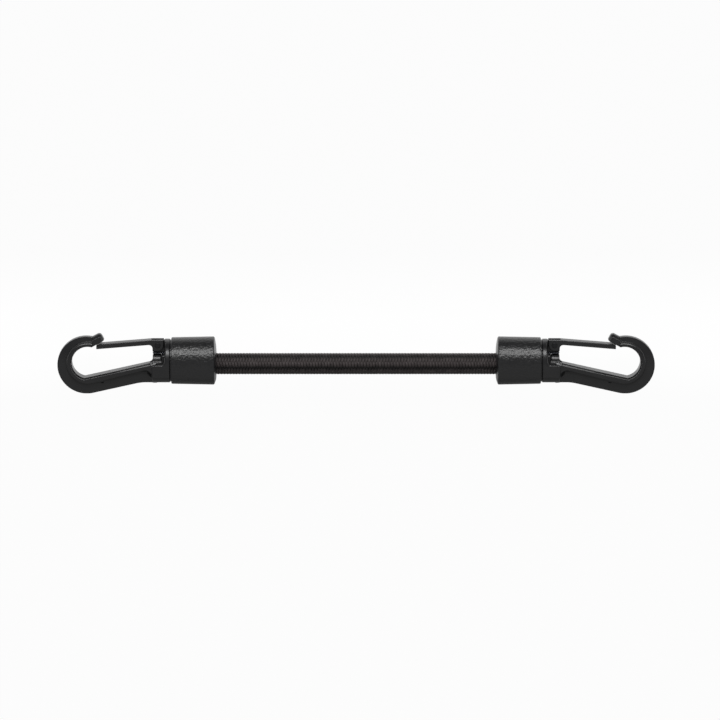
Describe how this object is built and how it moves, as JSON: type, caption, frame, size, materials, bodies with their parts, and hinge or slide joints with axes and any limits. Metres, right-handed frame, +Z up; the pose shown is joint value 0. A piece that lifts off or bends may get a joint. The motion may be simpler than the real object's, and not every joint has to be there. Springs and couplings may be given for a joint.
{
  "type": "bungee cord",
  "caption": "Short elastic bungee cord in a braided sheath, with a moulded end cap and a swivelling snap hook with a sprung gate at each end.",
  "frame": {"origin": "under the middle of the cord, on the surface that the two end caps rest on, at the middle of the bounding box", "axes": "+X along the cord towards the right end, +Y in the plane of the hooks towards their gates, +Z up and square to the hooks"},
  "size_m": [0.2328, 0.0238, 0.0188],
  "materials": {
    "hook_plastic": "satin moulded nylon, black",
    "cap_plastic": "fine spark-eroded grain, black",
    "braid": "braided polyester yarn, brownish black",
    "rubber": "natural rubber, dull",
    "pin_steel": "blackened drawn steel",
    "spring_steel": "blued spring steel",
    "ferrule_metal": "drawn and crimped"
  },
  "bodies": {
    "left_end": {"left_end_cap": "cap_plastic", "left_cord_ferrule": "ferrule_metal", "left_swivel_stud": "hook_plastic", "cord_sheath": "braid", "rubber_strand_1": "rubber", "rubber_strand_2": "rubber", "rubber_strand_3": "rubber", "rubber_strand_4": "rubber", "rubber_strand_5": "rubber", "rubber_strand_6": "rubber", "rubber_strand_7": "rubber"},
    "left_hook": {"left_hook_body": "hook_plastic", "left_gate_pin": "pin_steel", "left_gate_spring": "spring_steel"},
    "left_gate": {"left_gate": "hook_plastic"},
    "right_end": {"right_end_cap": "cap_plastic", "right_cord_ferrule": "ferrule_metal", "right_swivel_stud": "hook_plastic"},
    "right_hook": {"right_hook_body": "hook_plastic", "right_gate_pin": "pin_steel", "right_gate_spring": "spring_steel"},
    "right_gate": {"right_gate": "hook_plastic"}
  },
  "joints": [
    {"name": "cord_stretch", "type": "slide", "parent": "left_end", "child": "right_end", "axis": [1, 0, 0], "range_m": [0, 0.1], "stiffness_N_per_m": 800, "deforming": ["cord_sheath", "rubber_strand_1", "rubber_strand_2", "rubber_strand_3", "rubber_strand_4", "rubber_strand_5", "rubber_strand_6", "rubber_strand_7"]},
    {"name": "left_hook_swivel", "type": "hinge", "parent": "left_end", "child": "left_hook", "pos_m": [-0.0724, 0.00111, 0.0094], "axis": [1, 0, 0], "continuous": true},
    {"name": "left_gate_hinge", "type": "hinge", "parent": "left_hook", "child": "left_gate", "pos_m": [-0.0773, 0.00761, 0.0094], "axis": [0, 0, 1], "range_deg": [0, 24], "stiffness_Nm_per_rad": 0.03, "springref_deg": -11.46, "deforming": ["left_gate_spring"]},
    {"name": "right_hook_swivel", "type": "hinge", "parent": "right_end", "child": "right_hook", "pos_m": [0.0724, 0.00111, 0.0094], "axis": [1, 0, 0], "continuous": true},
    {"name": "right_gate_hinge", "type": "hinge", "parent": "right_hook", "child": "right_gate", "pos_m": [0.0773, 0.00761, 0.0094], "axis": [0, 0, -1], "range_deg": [0, 24], "stiffness_Nm_per_rad": 0.03, "springref_deg": -11.46, "deforming": ["right_gate_spring"]}
  ]
}
